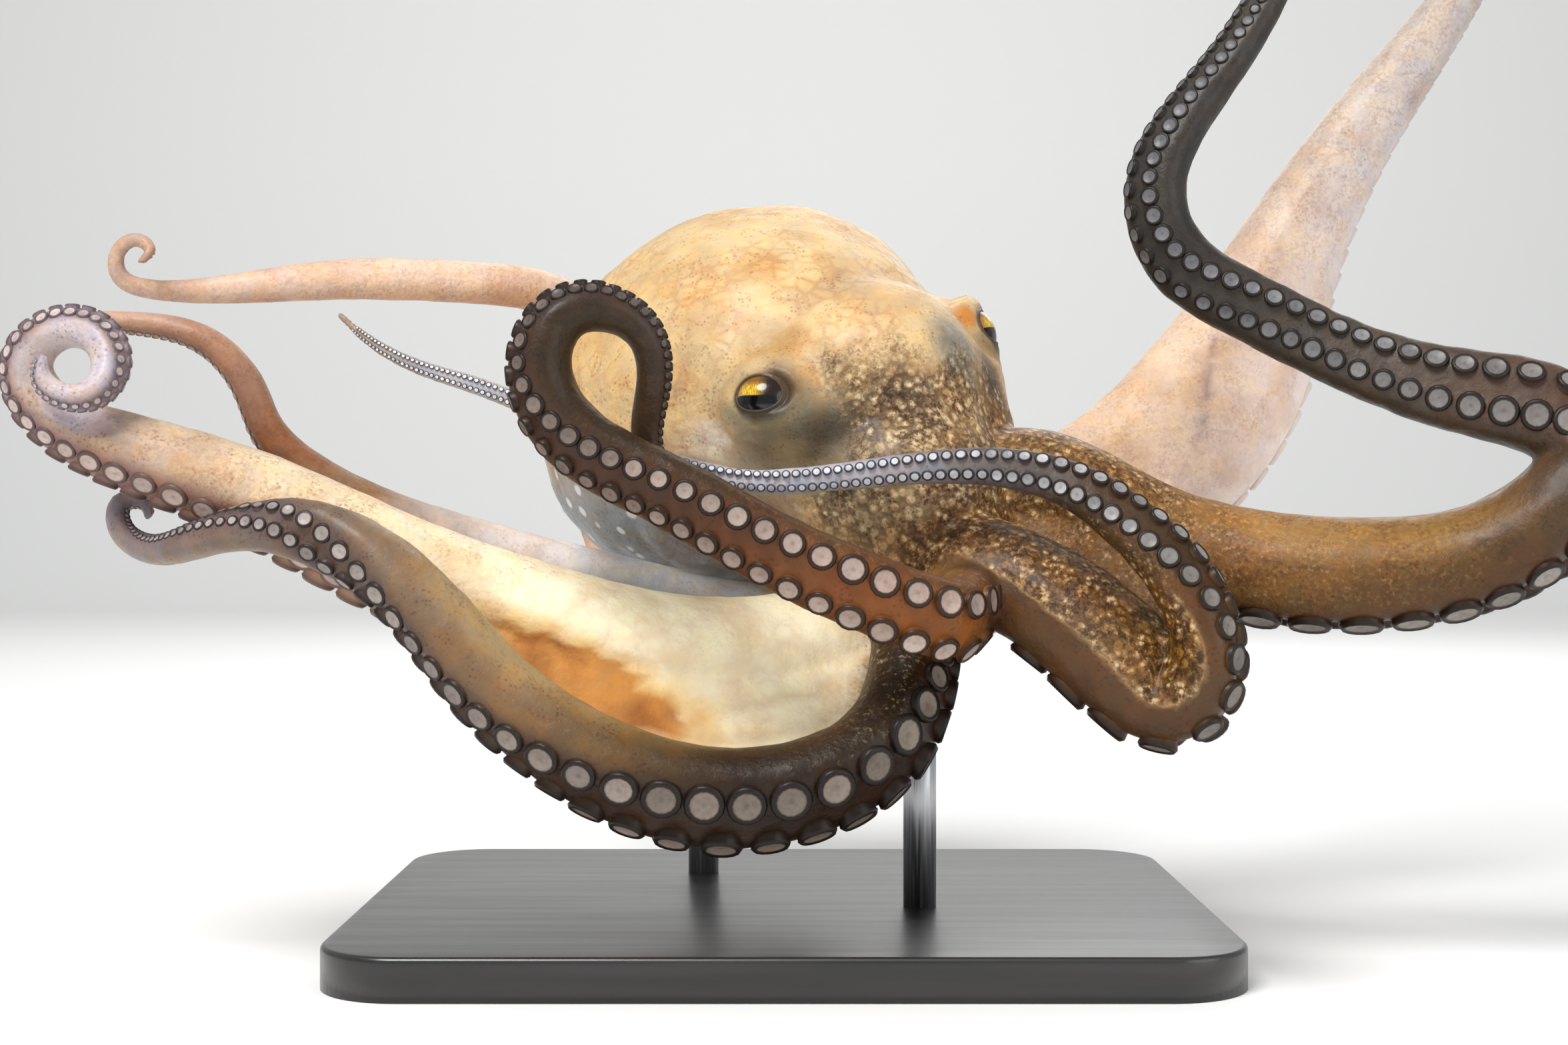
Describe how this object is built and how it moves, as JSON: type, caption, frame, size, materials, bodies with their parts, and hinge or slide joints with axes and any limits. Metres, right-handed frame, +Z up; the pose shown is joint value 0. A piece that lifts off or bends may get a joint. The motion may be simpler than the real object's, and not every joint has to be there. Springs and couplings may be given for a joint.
{
  "type": "octopus display model",
  "caption": "Life-size still octopus swimming with all its arms spread and curling, held up by two short rods on a plain flat base.",
  "frame": {"origin": "centre of the underside of the stand's base", "axes": "+Z up, -Y the side that the animal's right eye looks to, +X toward its left arms; the longest run of the arms lies along X"},
  "size_m": [0.4527, 0.242, 0.3431],
  "materials": {
    "skin": "moist soft skin, mottled brown and cream",
    "eye": "wet, golden iris with a black slit pupil",
    "beak": "smooth dark horn",
    "stand_base": "satin black lacquer",
    "stand_rod": "brushed"
  },
  "bodies": {
    "root": {"arm_r1_base": "skin", "arm_r1_mid": "skin", "arm_r1_tip": "skin", "arm_r2_base": "skin", "arm_r2_mid": "skin", "arm_r2_tip": "skin", "arm_r3_base": "skin", "arm_r3_mid": "skin", "arm_r3_tip": "skin", "arm_r4_base": "skin", "arm_r4_mid": "skin", "arm_r4_tip": "skin", "arm_l4_base": "skin", "arm_l4_mid": "skin", "arm_l4_tip": "skin", "arm_l3_base": "skin", "arm_l3_mid": "skin", "arm_l3_tip": "skin", "arm_l2_base": "skin", "arm_l2_mid": "skin", "arm_l2_outer": "skin", "arm_l2_tip": "skin", "arm_l1_base": "skin", "arm_l1_mid": "skin", "arm_l1_tip": "skin", "mantle": "skin", "head": "skin", "crown": "skin", "funnel": "skin", "web_r2_r3": "skin", "web_r3_r4": "skin", "web_r4_l4": "skin", "web_l3_l4": "skin", "web_l2_l3": "skin", "web_l1_l2": "skin", "eye_right": "eye", "eye_left": "eye", "beak": "beak", "stand_base": "stand_base", "stand_rod_back": "stand_rod", "stand_rod_front": "stand_rod"}
  },
  "joints": []
}
